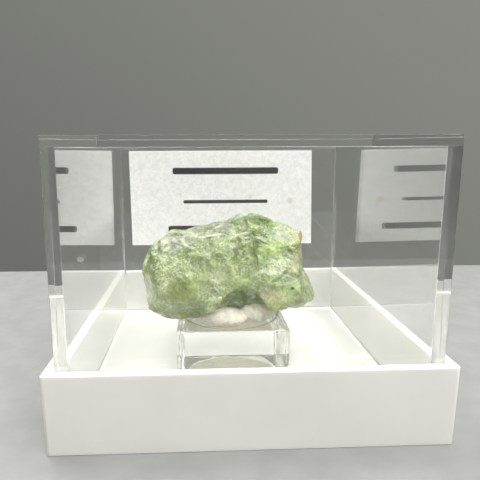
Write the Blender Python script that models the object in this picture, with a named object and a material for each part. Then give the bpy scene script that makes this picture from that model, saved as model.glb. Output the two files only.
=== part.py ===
"""Rough tsavorite garnet on a clear block, in a small display box: white tray, clear lid, paper card.

Metres, +Z up. The origin is the middle of the tray's underside, +X is the viewer's right and +Y goes away
from the viewer. Every size below is in millimetres and is turned into metres when a mesh is made.
"""

import math

import bmesh
import bpy
import numpy as np
from mathutils import Matrix, Vector

MM = 0.001

# Clearance kept between pieces that rest on or beside each other
GAP = 0.25

# White tray
TRAY_SIDE = 31.0
TRAY_HEIGHT = 6.4
TRAY_WALL = 0.5
TRAY_FLOOR = 0.9
TRAY_TAPER = 0.02
TRAY_CORNER = 0.3
TRAY_INNER_CORNER = 0.15
RIM_ROUND = 0.12
FLOOR_FILLET = 0.35

# Clear lid
LID_TOP = 23.3
LID_HALF_TOP = 14.5
LID_HALF_FOOT = 14.7
LID_WALL = 0.85
LID_ROOF = 0.8
LID_CORNER = 0.2
LID_INNER_CORNER = 0.12
LID_ROUND = 0.2

# Paper card behind the specimen
CARD_LEFT = -12.6
CARD_RIGHT_TOP = 10.45
CARD_RIGHT_FOOT = 10.8
CARD_TALL = 12.0
CARD_THICK = 0.25

# Clear block and the round pad under it
BLOCK_SIDE = 10.3
BLOCK_CENTRE = (-0.9, -1.9)
BLOCK_TOP = 6.35
BLOCK_CHAMFER = 0.2
PAD_RADIUS = 4.25
PAD_THICK = 0.15

# Putty between the block and the crystal
PUTTY_CENTRE = (-0.6, -1.9)
PUTTY_REACH = (3.8, 4.1)
PUTTY_LOBES = 5
PUTTY_LOBE_DEPTH = 0.08

# Crystal: centre, how it is tipped and turned, and its outline as it faces the viewer
CRYSTAL_CENTRE = (-1.08, -1.9, 11.0)
CRYSTAL_TIP = 14.0
CRYSTAL_TURN = 3.5
CRYSTAL_DEPTH = 4.3
CRYSTAL_OUTLINE = [
    (-8.4, -0.1), (-8.25, 1.0), (-7.8, 2.1), (-6.6, 2.8), (-4.9, 3.7), (-3.5, 4.0), (-1.3, 4.4),
    (0.6, 4.8), (0.95, 5.1), (2.4, 5.2), (4.1, 4.9), (5.0, 4.3), (6.0, 4.0), (7.1, 3.55), (7.3, 2.9),
    (7.25, 1.7), (7.65, -0.55), (8.2, -1.5), (8.4, -2.6), (7.5, -3.7), (5.7, -4.15), (4.0, -4.3),
    (3.2, -4.0), (0.4, -4.1), (-1.8, -4.45), (-2.9, -5.0), (-5.6, -5.15), (-6.9, -4.95), (-7.9, -3.8),
    (-8.3, -2.4),
]
OUTLINE_FIT = 0.975
FRONT_TAPER = 0.022
FACE_SIZE = 0.52

# The crystal's underside: flat over the putty, lower beyond it on the left and on the right
SEAT_HEIGHT = 7.6
SEAT_EDGE = 1.12
LEFT_HEIGHT = 6.75
RIGHT_HEIGHT = 7.0

# How the form is broken: chips in all, their tilt, ledge and limits in mm, and how sharply they meet
LARGE_CHIPS = {"count": 95, "tilt": 0.1, "ledge": 0.05, "nearness": 3.0, "cut": 4.0, "limit": 0.6}
SMALL_CHIPS = {"count": 520, "tilt": 0.12, "ledge": 0.04, "nearness": 9.0, "cut": 5.0, "limit": 0.2}

# Lumps, ledges and hollows on the crystal's front: middle, reach, rise towards the viewer, edge sharpness
FRONT_FORMS = [
    ((5.8, -2.4), (2.6, 1.6), 1.5, 3.0),
    ((5.4, 1.0), (2.4, 2.3), 1.2, 5.0),
    ((1.9, -3.3), (1.5, 1.0), -1.8, 2.5),
    ((0.2, -0.9), (1.0, 2.0), 0.5, 2.0),
    ((-5.4, -2.4), (2.4, 2.2), 0.8, 2.5),
    ((-3.0, 3.6), (2.8, 0.7), -0.9, 3.0),
    ((-6.2, 1.9), (1.6, 1.0), -0.7, 3.0),
    ((3.1, 3.9), (1.3, 1.0), 0.5, 2.5),
    ((-1.5, 1.4), (2.0, 0.9), 0.45, 2.5),
]

MATERIALS = {
    "tray": ((0.88, 0.88, 0.86), 0.3, 1.0, 0.0),
    "lid": ((0.97, 0.98, 0.98), 0.03, 1.0, 1.0),
    "label_card": ((0.93, 0.93, 0.91), 0.8, 1.0, 0.0),
    "acrylic_block": ((0.96, 0.97, 0.96), 0.03, 1.0, 1.0),
    "base_pad": ((0.66, 0.64, 0.52), 0.7, 1.0, 0.0),
    "mounting_putty": ((0.85, 0.78, 0.62), 0.6, 1.0, 0.0),
    "garnet_crystal": ((0.34, 0.52, 0.2), 0.2, 1.0, 0.5),
}


def clear_scene():
    for obj in list(bpy.data.objects):
        bpy.data.objects.remove(obj, do_unlink=True)


def make_material(name):
    colour, roughness, alpha, transmission = MATERIALS[name]
    material = bpy.data.materials.new(name)
    material.use_nodes = True
    shader = material.node_tree.nodes["Principled BSDF"]
    shader.inputs["Base Color"].default_value = (*colour, 1.0)
    shader.inputs["Roughness"].default_value = roughness
    shader.inputs["Metallic"].default_value = 0.0
    shader.inputs["Alpha"].default_value = alpha
    shader.inputs["Transmission Weight"].default_value = transmission
    return material


def add_object(name, bm):
    """Turns a bmesh in millimetres into a named object in metres, with its own material."""
    bmesh.ops.scale(bm, vec=(MM, MM, MM), verts=bm.verts)
    bmesh.ops.recalc_face_normals(bm, faces=bm.faces)
    mesh = bpy.data.meshes.new(name)
    bm.to_mesh(mesh)
    bm.free()
    mesh.materials.append(make_material(name))
    obj = bpy.data.objects.new(name, mesh)
    bpy.context.collection.objects.link(obj)
    return obj


def rounded_square(half, radius, z, steps=4):
    """Corner points of a square of the given half width with round corners, as one loop at height z."""
    loop = []
    for quarter in range(4):
        turn = math.pi / 2 * quarter
        sign_x = (1, -1, -1, 1)[quarter]
        sign_y = (1, 1, -1, -1)[quarter]
        for step in range(steps + 1):
            angle = turn + math.pi / 2 * step / steps
            x = sign_x * (half - radius) + radius * math.cos(angle)
            y = sign_y * (half - radius) + radius * math.sin(angle)
            loop.append((x, y, z))
    return loop


def closed_from_loops(loops):
    """Joins each loop to the next with faces, and closes the first and the last with one face each."""
    bm = bmesh.new()
    rings = [[bm.verts.new(point) for point in loop] for loop in loops]
    count = len(rings[0])
    for low, high in zip(rings, rings[1:]):
        for i in range(count):
            j = (i + 1) % count
            bm.faces.new((low[i], low[j], high[j], high[i]))
    bm.faces.new(reversed(rings[0]))
    bm.faces.new(rings[-1])
    return bm


def make_tray():
    half = TRAY_SIDE / 2
    foot = half - TRAY_TAPER
    inner = half - TRAY_WALL
    loops = [
        rounded_square(foot - RIM_ROUND, TRAY_CORNER, 0.0),
        rounded_square(foot, TRAY_CORNER, RIM_ROUND),
        rounded_square(half, TRAY_CORNER, TRAY_HEIGHT - RIM_ROUND),
        rounded_square(half - RIM_ROUND, TRAY_CORNER, TRAY_HEIGHT),
        rounded_square(inner + RIM_ROUND / 2, TRAY_INNER_CORNER, TRAY_HEIGHT),
        rounded_square(inner, TRAY_INNER_CORNER, TRAY_HEIGHT - RIM_ROUND),
        rounded_square(inner - TRAY_TAPER / 2, TRAY_INNER_CORNER, TRAY_FLOOR + FLOOR_FILLET / 3),
        rounded_square(inner - TRAY_TAPER / 2 - FLOOR_FILLET / 3, TRAY_INNER_CORNER, TRAY_FLOOR),
    ]
    return add_object("tray", closed_from_loops(loops))


def make_lid():
    foot_z = TRAY_FLOOR + GAP
    roof_z = LID_TOP - LID_ROOF
    inner_foot = LID_HALF_FOOT - LID_WALL
    inner_top = LID_HALF_TOP - LID_WALL
    loops = [
        rounded_square(LID_HALF_TOP - LID_ROUND, LID_CORNER, LID_TOP),
        rounded_square(LID_HALF_TOP - LID_ROUND * 0.3, LID_CORNER, LID_TOP - LID_ROUND * 0.3),
        rounded_square(LID_HALF_TOP, LID_CORNER, LID_TOP - LID_ROUND),
        rounded_square(LID_HALF_FOOT, LID_CORNER, foot_z),
        rounded_square(inner_foot, LID_INNER_CORNER, foot_z),
        rounded_square(inner_top, LID_INNER_CORNER, roof_z - LID_ROUND),
        rounded_square(inner_top - LID_ROUND, LID_INNER_CORNER, roof_z),
    ]
    return add_object("lid", closed_from_loops(loops))


def make_card():
    """A thin card, a little wider at its foot, that hangs straight just in front of the lid's rear wall."""
    top = LID_TOP - LID_ROOF - GAP
    foot = top - CARD_TALL
    back = LID_HALF_TOP - LID_WALL - GAP
    front = back - CARD_THICK
    corners = [(CARD_LEFT, foot), (CARD_RIGHT_FOOT, foot), (CARD_RIGHT_TOP, top), (CARD_LEFT, top)]
    bm = bmesh.new()
    near = [bm.verts.new((x, front, z)) for x, z in corners]
    far = [bm.verts.new((x, back, z)) for x, z in corners]
    bm.faces.new(near)
    bm.faces.new(reversed(far))
    for i in range(4):
        j = (i + 1) % 4
        bm.faces.new((near[i], far[i], far[j], near[j]))
    return add_object("label_card", bm)


def make_block():
    pad_top = TRAY_FLOOR + GAP + PAD_THICK
    low = pad_top + GAP
    bm = bmesh.new()
    bmesh.ops.create_cube(bm, size=1.0)
    bmesh.ops.scale(bm, vec=(BLOCK_SIDE, BLOCK_SIDE, BLOCK_TOP - low), verts=bm.verts)
    bmesh.ops.translate(bm, vec=(*BLOCK_CENTRE, (BLOCK_TOP + low) / 2), verts=bm.verts)
    bmesh.ops.bevel(bm, geom=bm.edges[:], offset=BLOCK_CHAMFER, segments=1, affect="EDGES")
    return add_object("acrylic_block", bm)


def make_pad():
    low = TRAY_FLOOR + GAP
    bm = bmesh.new()
    bmesh.ops.create_cone(
        bm, cap_ends=True, segments=40, radius1=PAD_RADIUS, radius2=PAD_RADIUS - 0.05, depth=PAD_THICK
    )
    bmesh.ops.translate(bm, vec=(*BLOCK_CENTRE, low + PAD_THICK / 2), verts=bm.verts)
    return add_object("base_pad", bm)


def make_putty():
    """A flattened ball whose edge is pressed into lobes, between the block's top and the crystal's seat."""
    low = BLOCK_TOP + GAP
    high = SEAT_HEIGHT - GAP
    middle = (low + high) / 2
    half_tall = (high - low) / 2
    bm = bmesh.new()
    bmesh.ops.create_uvsphere(bm, u_segments=28, v_segments=10, radius=1.0)
    for vert in bm.verts:
        angle = math.atan2(vert.co.y, vert.co.x)
        lobe = 1.0 + PUTTY_LOBE_DEPTH * math.sin(PUTTY_LOBES * angle + 0.6)
        out = math.hypot(vert.co.x, vert.co.y) ** 0.6 * lobe
        up = math.copysign(abs(vert.co.z) ** 0.7, vert.co.z)
        vert.co = Vector((
            PUTTY_CENTRE[0] + PUTTY_REACH[0] * out * math.cos(angle),
            PUTTY_CENTRE[1] + PUTTY_REACH[1] * out * math.sin(angle),
            middle + half_tall * up,
        ))
    return add_object("mounting_putty", bm)


def outline_reach(angle):
    """How far the crystal's outline lies from its centre in one direction, read off the outline's edges."""
    direction = np.array([math.cos(angle), math.sin(angle)])
    best = 0.0
    points = np.array(CRYSTAL_OUTLINE)
    for start, end in zip(points, np.roll(points, -1, axis=0)):
        edge = end - start
        cross = direction[0] * edge[1] - direction[1] * edge[0]
        if abs(cross) < 1e-9:
            continue
        along_ray = (start[0] * edge[1] - start[1] * edge[0]) / cross
        along_edge = (start[0] * direction[1] - start[1] * direction[0]) / cross
        if along_ray > 0 and -1e-6 <= along_edge <= 1 + 1e-6:
            best = max(best, along_ray)
    return best


def crystal_form(direction):
    """The crystal's smooth form in one direction from its centre: x right, y away, z up, in its own axes."""
    x, y, z = direction
    angle = math.atan2(z, x)
    across = math.hypot(x, z)
    reach = OUTLINE_FIT * outline_reach(angle) * across ** 0.55
    depth = CRYSTAL_DEPTH * abs(y) ** 0.62
    point = np.array([reach * math.cos(angle), math.copysign(depth, y), reach * math.sin(angle)])
    if y < 0:
        point[1] -= front_relief(point[0], point[2]) * min(1.0, abs(y) * 1.6)
        point[[0, 2]] *= 1.0 + FRONT_TAPER * point[1]
    return point


def front_relief(u, v):
    """Sum of the front's lumps and hollows at one place, towards the viewer."""
    rise = 0.0
    for (mid_u, mid_v), (reach_u, reach_v), height, sharp in FRONT_FORMS:
        away = math.hypot((u - mid_u) / reach_u, (v - mid_v) / reach_v)
        rise += height / (1.0 + math.exp(sharp * 2.2 * (away - 0.9)))
    return rise


def press_flat_chips(points, normals, rng, count, tilt, ledge, nearness, cut, limit):
    """Moves each point onto the flat planes of the chips round it, which breaks a smooth form into facets.

    The planes pass through places on the form itself, tipped at random and set in or out by a ledge. A point
    takes the plane of its nearest chip, and the more so of the plane that cuts deepest where cut is large.
    """
    picks = rng.choice(len(points), size=count, replace=False)
    middles = points[picks] + normals[picks] * rng.normal(0.0, ledge, (count, 1))
    planes = normals[picks] + rng.normal(0.0, tilt, (count, 3))
    planes /= np.linalg.norm(planes, axis=1, keepdims=True)
    moved = np.empty_like(points)
    for i, (point, normal) in enumerate(zip(points, normals)):
        away = np.linalg.norm(middles - point, axis=1)
        near = np.argsort(away)[:5]
        facing = np.clip(planes[near] @ normal, 0.4, None)
        step = ((middles[near] - point) * planes[near]).sum(axis=1) / facing
        step = np.clip(step, -limit, limit)
        weight = np.exp(-nearness * (away[near] - away[near[0]]) - cut * (step - step.min()))
        moved[i] = point + normal * (weight @ step) / weight.sum()
    return moved


def mesh_normals(bm):
    bm.normal_update()
    return np.array([vert.normal[:] for vert in bm.verts])


def set_points(bm, points):
    for vert, point in zip(bm.verts, points):
        vert.co = point


def evenly_meshed(bm, size):
    """The same closed form again, with faces of about one size, on a grid that is askew to the form's own axes."""
    askew = Matrix.Rotation(0.6, 4, "X") @ Matrix.Rotation(0.7, 4, "Y")
    bmesh.ops.transform(bm, matrix=askew, verts=bm.verts)
    mesh = bpy.data.meshes.new("rough form")
    bm.to_mesh(mesh)
    bm.free()
    obj = bpy.data.objects.new("rough form", mesh)
    bpy.context.collection.objects.link(obj)
    remesh = obj.modifiers.new("even", "REMESH")
    remesh.mode = "VOXEL"
    remesh.voxel_size = size
    even = bmesh.new()
    even.from_object(obj, bpy.context.evaluated_depsgraph_get())
    bpy.data.objects.remove(obj, do_unlink=True)
    bmesh.ops.transform(even, matrix=askew.inverted(), verts=even.verts)
    bmesh.ops.triangulate(even, faces=even.faces[:], quad_method="SHORT_EDGE")
    return even


def underside_height(x, y):
    """The lowest that the crystal may reach at one place, eased between the putty and what lies beyond it."""
    away = math.hypot((x - PUTTY_CENTRE[0]) / PUTTY_REACH[0], (y - PUTTY_CENTRE[1]) / PUTTY_REACH[1])
    beyond = LEFT_HEIGHT if x < PUTTY_CENTRE[0] else RIGHT_HEIGHT
    ease = min(1.0, max(0.0, (away - SEAT_EDGE) / 0.25))
    return SEAT_HEIGHT + (beyond - SEAT_HEIGHT) * ease * ease * (3.0 - 2.0 * ease)


def make_crystal():
    """One broken crystal: a form inside the outline, broken into large chips and then into small ones."""
    rng = np.random.default_rng(11)
    bm = bmesh.new()
    bmesh.ops.create_icosphere(bm, subdivisions=6, radius=1.0)
    set_points(bm, [crystal_form(vert.co[:]) for vert in bm.verts])
    bm = evenly_meshed(bm, FACE_SIZE)
    points = np.array([vert.co[:] for vert in bm.verts])
    for chips in (LARGE_CHIPS, SMALL_CHIPS):
        points = press_flat_chips(points, mesh_normals(bm), rng, **chips)
        set_points(bm, points)
    turn = Matrix.Rotation(math.radians(-CRYSTAL_TURN), 4, "Z")
    tip = Matrix.Rotation(math.radians(-CRYSTAL_TIP), 4, "X")
    bmesh.ops.transform(bm, matrix=Matrix.Translation(CRYSTAL_CENTRE) @ turn @ tip, verts=bm.verts)
    for vert in bm.verts:
        lowest = underside_height(vert.co.x, vert.co.y)
        if vert.co.z < lowest:
            vert.co.z = lowest + 0.12 * (1.0 - math.exp(vert.co.z - lowest))
    return add_object("garnet_crystal", bm)


def main():
    clear_scene()
    make_tray()
    make_lid()
    make_card()
    make_block()
    make_pad()
    make_putty()
    make_crystal()


main()
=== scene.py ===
"""Looks of the boxed garnet: white tray, clear lid, paper card, clear block, putty and a rough green crystal.

Everything is in metres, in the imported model's frame: +X is the viewer's right, +Y goes away from the viewer
and +Z is up. Sizes are in millimetres where nothing else is said, and MM turns them into metres.
"""

import math

import bmesh
import bpy
from mathutils import Matrix, Vector, kdtree
import numpy as np


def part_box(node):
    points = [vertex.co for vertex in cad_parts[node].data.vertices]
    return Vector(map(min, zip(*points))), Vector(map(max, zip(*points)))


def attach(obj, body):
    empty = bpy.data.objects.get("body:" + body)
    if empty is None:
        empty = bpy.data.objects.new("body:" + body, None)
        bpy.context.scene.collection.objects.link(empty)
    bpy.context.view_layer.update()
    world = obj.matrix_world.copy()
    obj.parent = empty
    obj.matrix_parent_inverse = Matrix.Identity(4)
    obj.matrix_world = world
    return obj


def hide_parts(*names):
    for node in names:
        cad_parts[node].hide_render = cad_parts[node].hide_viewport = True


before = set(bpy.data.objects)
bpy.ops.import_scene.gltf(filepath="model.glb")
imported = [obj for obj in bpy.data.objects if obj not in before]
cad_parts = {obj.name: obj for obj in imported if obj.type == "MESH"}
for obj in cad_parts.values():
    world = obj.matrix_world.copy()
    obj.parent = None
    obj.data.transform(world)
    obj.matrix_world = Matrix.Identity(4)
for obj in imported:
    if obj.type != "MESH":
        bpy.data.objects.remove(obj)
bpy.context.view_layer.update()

MM = 0.001

# How places on a mesh are told apart: how much of a direction has to lie along an axis, the angle in radians
# from which an edge is a corner, how near two heights are the same, and the areas in square mm under which a
# face belongs to a round
ALONG_AXIS = 0.9
CORNER_ANGLE = 0.4
SAME_HEIGHT = 0.01
ROUND_FACE = 4
BLOCK_ROUND_FACE = 2

# Tray, as moulded
TRAY_WALL = 0.78
TRAY_FLOOR = 0.9
TRAY_TAPER = 0.02
TRAY_CORNER = 0.3
TRAY_INNER_CORNER = 0.16
TRAY_RIM_ROUND = 0.06
TRAY_FLOOR_FILLET = 0.13

# Lid, as moulded
LID_WALL = 0.85
LID_ROOF = 0.8
LID_CORNER = 0.03
LID_INNER_CORNER_FRONT = 0.03
LID_INNER_CORNER_REAR = 0.11
LID_ROUND = 0.015
LID_HALF_TOP = 14.5
LID_HALF_FOOT = 14.7

# The lid's side walls are glossier in their upper half: centre and reach of each wall, and of that half
LID_GLOSSY_WALLS = [((-14.2, 0.0, 12.0), (0.75, 40.0, 40.0)), ((14.2, 0.0, 12.0), (0.75, 40.0, 40.0))]
LID_GLOSSY_HALF = ((0.0, 0.0, 24.5), (80.0, 80.0, 10.2))

# Scuffs and dust on the lid: centre, reach, turn seen from the front in degrees, roughness
LID_SCUFFS = [
    ((-12.2, -14.6, 14.8), (0.28, 0.5, 0.24), 0, 0.3),
    ((5.5, -14.6, 16.1), (2.1, 0.5, 0.11), -48, 0.17),
    ((5.3, -14.6, 17.3), (1.2, 0.5, 0.05), -44, 0.15),
]

# Paper card: how much narrower its top is than its foot, its place before the CAD card's back, its bow, its
# thickness, and its stains as centre, reach, turn seen from the front in degrees, tint and share
CARD_SLANT = 0.35
CARD_BACK = 0.03
CARD_BOW = 0.09
CARD_THICK = 0.11
CARD_STAINS = [
    ((7.8, 13.2, 15.9), (0.32, 5.0, 0.38), 20, (0.72, 0.62, 0.46), 0.7),
    ((2.7, 13.2, 16.5), (0.3, 5.0, 0.25), 20, (0.72, 0.62, 0.46), 0.35),
]

# Block: round of its edges and width of its worn rear edges
BLOCK_ROUND = 0.14
BLOCK_REAR_LEFT = 0.9
BLOCK_REAR_RIGHT = 0.45

# Sawn sides of the block: their middles and reach, and the depth of the upright saw marks
BLOCK_SIDES = [(-6.05, -1.9, 4.0), (4.25, -1.9, 4.0)]
BLOCK_SIDE_REACH = (0.5, 8.0, 8.0)
BLOCK_SAW_DEPTH = 0.25

# Pad: how high it holds the block off the tray's floor, how far it wets into it, and the round of its edges
PAD_THICK = 0.1
PAD_WET = 0.012
PAD_ROUND = 0.03

# Glue round the pad, where it wets the block: how far its top stays below the pad's, and places along its
# edge, from the rear left, clockwise
GLUE_BELOW_PAD = 0.006
GLUE_EDGE = [
    (-2.9, 2.3), (-2.6, 2.9), (-1.9, 2.75), (-1.2, 2.9), (-0.5, 2.7), (0.2, 2.9), (0.9, 2.8), (1.6, 2.9),
    (2.3, 2.7), (2.7, 2.2), (3.0, 1.2), (3.3, 0.2), (3.5, -1.0), (3.9, -2.2), (4.0, -4.2), (3.7, -6.6),
    (-5.4, -6.7), (-5.7, -4.4), (-5.4, -2.6), (-5.1, -1.2), (-4.7, 0.3), (-4.0, 1.4),
]

# Putty: centre, reach and turn in degrees, seen from above, of each lump that was pressed together
PUTTY_LUMPS = [
    ((-0.4, -1.8, 6.9), (3.1, 2.7, 0.8), 0),
    ((-1.9, -4.8, 6.9), (2.4, 1.4, 0.95), -14),
    ((1.6, -4.15, 7.15), (1.8, 1.1, 1.05), 24),
]

# Putty: how far it is cut below the block's top, the voxel of its mesh, and its uneven skin as name, size and
# height
PUTTY_SEAT = 0.02
PUTTY_VOXEL = 0.08
PUTTY_SKIN = [("pressed putty", 1.3, 0.16), ("putty grain", 0.4, 0.04)]

# Faint brown ring on the block's top, round the putty: middle, radius, half width, height above the block,
# and how far the ring is pressed flat
BROWN_RING = ((-0.9, -1.9), 4.75, 0.13)
RING_LIFT = 0.008
RING_FLATTENED = 0.04

# Printed rules: place before the paper, thickness, round of the ends as a share of how tall each rule is, and
# each rule's left end, right end, middle height and how tall it is
RULE_LIFT = 0.01
RULE_THICK = 0.02
RULE_ROUND = 0.3
PRINTED_RULES = [
    (-7.2, 6.2, 19.75, 0.8),
    (-5.9, 4.9, 15.85, 0.42),
    (-7.9, 7.4, 12.35, 0.8),
]

# Crystal: distance under which the solid's own vertices are one, voxel and smoothing of the finer mesh, and
# how deep its colour is against the tints below
CRYSTAL_WELD = 0.001
CRYSTAL_VOXEL = 0.12
CRYSTAL_SMOOTHING = 14
STONE_DEPTH = 0.79

# Chips on the crystal, large ones first: how many, how far they tip, how far they step in or out, how sharply
# the nearest and the lowest one wins, and how far a place may move at most. Then how many chips round a place
# count, the seed of the draws, and how far a chip may turn away from the skin
CHIP_PASSES = [
    dict(count=700, tilt=0.12, ledge=0.015, nearness=9000, cut=6000, limit=0.1),
    dict(count=9000, tilt=0.2, ledge=0.008, nearness=34000, cut=6000, limit=0.045),
]
NEAREST_CHIPS = 4
CHIP_SEED = 5
STEEPEST_CHIP = 0.4

# Places on the crystal that are pulled in or out: centre, reach, pull
PULLED_PLACES = [
    ((2.7, -5.6, 8.5), (1.2, 1.8, 0.9), (-0.08, -0.5, -0.42)),
    ((-5.6, -1.5, 15.0), (1.4, 3.0, 1.0), (0.0, 0.0, -0.6)),
    ((-7.3, -2.4, 14.2), (0.9, 2.0, 0.8), (0.1, 0.0, -0.2)),
    ((5.9, -3.6, 12.8), (0.9, 2.0, 1.2), (0.3, 0.0, 0.0)),
    ((5.6, -3.6, 14.5), (0.9, 1.8, 0.8), (0.2, 0.0, 0.2)),
    ((-9.2, -1.5, 12.3), (1.0, 3.0, 1.1), (0.5, 0.0, 0.0)),
    ((-5.0, -5.3, 6.9), (1.1, 1.8, 0.7), (0.0, 0.0, 0.18)),
    ((-7.7, -5.3, 7.6), (0.9, 1.8, 0.7), (-0.1, 0.0, -0.25)),
    ((7.4, -3.2, 9.0), (1.0, 2.6, 1.3), (-0.3, 0.0, 0.0)),
    ((-4.1, -5.3, 7.0), (0.8, 1.6, 0.6), (0.0, 0.0, -0.16)),
    ((3.5, -4.0, 15.6), (0.9, 2.0, 0.7), (0.0, 0.0, -0.2)),
    ((0.4, -5.6, 12.6), (1.5, 2.0, 2.4), (0.0, -0.45, 0.0)),
    ((0.6, -3.2, 16.1), (0.6, 2.2, 0.6), (0.0, 0.0, 0.15)),
    ((-0.7, -3.0, 16.1), (0.7, 2.6, 0.6), (0.0, 0.0, -0.4)),
]

# How far out in their reach pressed faces and calm places end, and over how much of it each kind fades
FACET_END = 1.15
FACET_FADE = 0.3
CALM_END = 1.3
CALM_FADE = 0.5

# The flat faces on the crystal's front: centre, normal, reach, how much of the flatness is kept
FRONT_FACETS = [
    ((-6.5, -3.9, 13.8), (-0.45, -0.62, 0.64), (1.7, 1.8, 1.1), 0.9),
    ((-4.2, -3.9, 14.6), (-0.15, -0.55, 0.82), (1.9, 1.6, 0.9), 0.8),
    ((-1.6, -3.9, 15.0), (-0.2, -0.5, 0.84), (1.8, 1.6, 0.9), 0.8),
    ((-0.1, -3.7, 15.5), (-0.15, -0.8, 0.58), (0.9, 1.8, 0.8), 0.85),
    ((1.7, -3.6, 15.9), (0.25, -0.95, 0.16), (1.4, 1.6, 0.6), 0.8),
    ((3.8, -4.4, 14.8), (0.4, -0.6, 0.7), (1.4, 1.8, 1.1), 0.8),
    ((-5.3, -7.0, 10.2), (-0.1, -0.97, 0.1), (1.6, 1.5, 1.4), 0.7),
    ((0.1, -5.9, 12.6), (0.2, -0.96, 0.1), (1.1, 1.4, 1.9), 0.6),
    ((-8.5, -3.8, 10.2), (-0.85, -0.5, 0.1), (0.9, 2.0, 2.4), 0.6),
    ((5.65, -3.8, 13.2), (0.95, -0.3, 0.05), (0.9, 2.0, 1.9), 0.75),
]

# The raised panel on the front's right, given the same way, with crisp straight borders
RAISED_FACETS = [
    ((3.1, -6.6, 12.35), (0.1, -0.93, 0.33), (1.8, 2.0, 1.3), 0.85),
]
RAISED_FADE = 0.12
RAISED_POWER = 5

# Places where the surface is glassy and calm: centre, reach, how much of the crumbling is left
CALM_PLACES = [
    ((-6.5, -3.9, 13.8), (1.6, 1.6, 0.9), 0.3),
    ((-2.8, -2.6, 15.5), (3.6, 2.2, 0.7), 0.45),
    ((1.4, -3.4, 16.0), (1.3, 1.8, 0.5), 0.3),
    ((2.2, -6.2, 13.4), (1.0, 1.6, 0.7), 0.55),
    ((3.9, -7.3, 9.6), (2.0, 2.0, 1.3), 0.4),
    ((-5.3, -7.0, 9.9), (1.2, 1.6, 1.1), 0.75),
    ((-6.2, -5.0, 7.4), (2.6, 2.4, 0.5), 0.5),
    ((4.8, -6.0, 12.0), (1.0, 1.8, 0.9), 0.4),
    ((0.6, -5.0, 8.8), (1.4, 1.6, 0.7), 0.5),
]

# Places where the stone is milky and lets less light through: centre, reach
MILKY_PLACES = [
    ((1.4, -3.4, 15.9), (1.6, 2.2, 0.7)),
    ((2.1, -6.2, 13.2), (1.0, 2.0, 1.0)),
    ((3.6, -4.8, 14.6), (1.8, 2.4, 1.2)),
    ((3.6, -7.0, 12.2), (1.7, 2.2, 0.9)),
    ((2.6, -6.4, 9.4), (1.3, 2.4, 1.2)),
    ((-2.4, -6.6, 10.6), (2.2, 2.4, 1.8)),
    ((-8.7, -3.8, 9.2), (0.8, 2.4, 1.4)),
]

# Places with a waxy skin, which take less of a highlight: centre, reach
WAXY_PLACES = [
    ((-3.8, -5.3, 14.2), (1.8, 2.6, 0.9)),
    ((3.0, -6.0, 13.85), (0.9, 2.4, 0.5)),
    ((-4.5, -7.0, 11.4), (1.3, 2.6, 1.1)),
    ((1.9, -3.5, 15.8), (1.0, 2.0, 0.5)),
]
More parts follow.
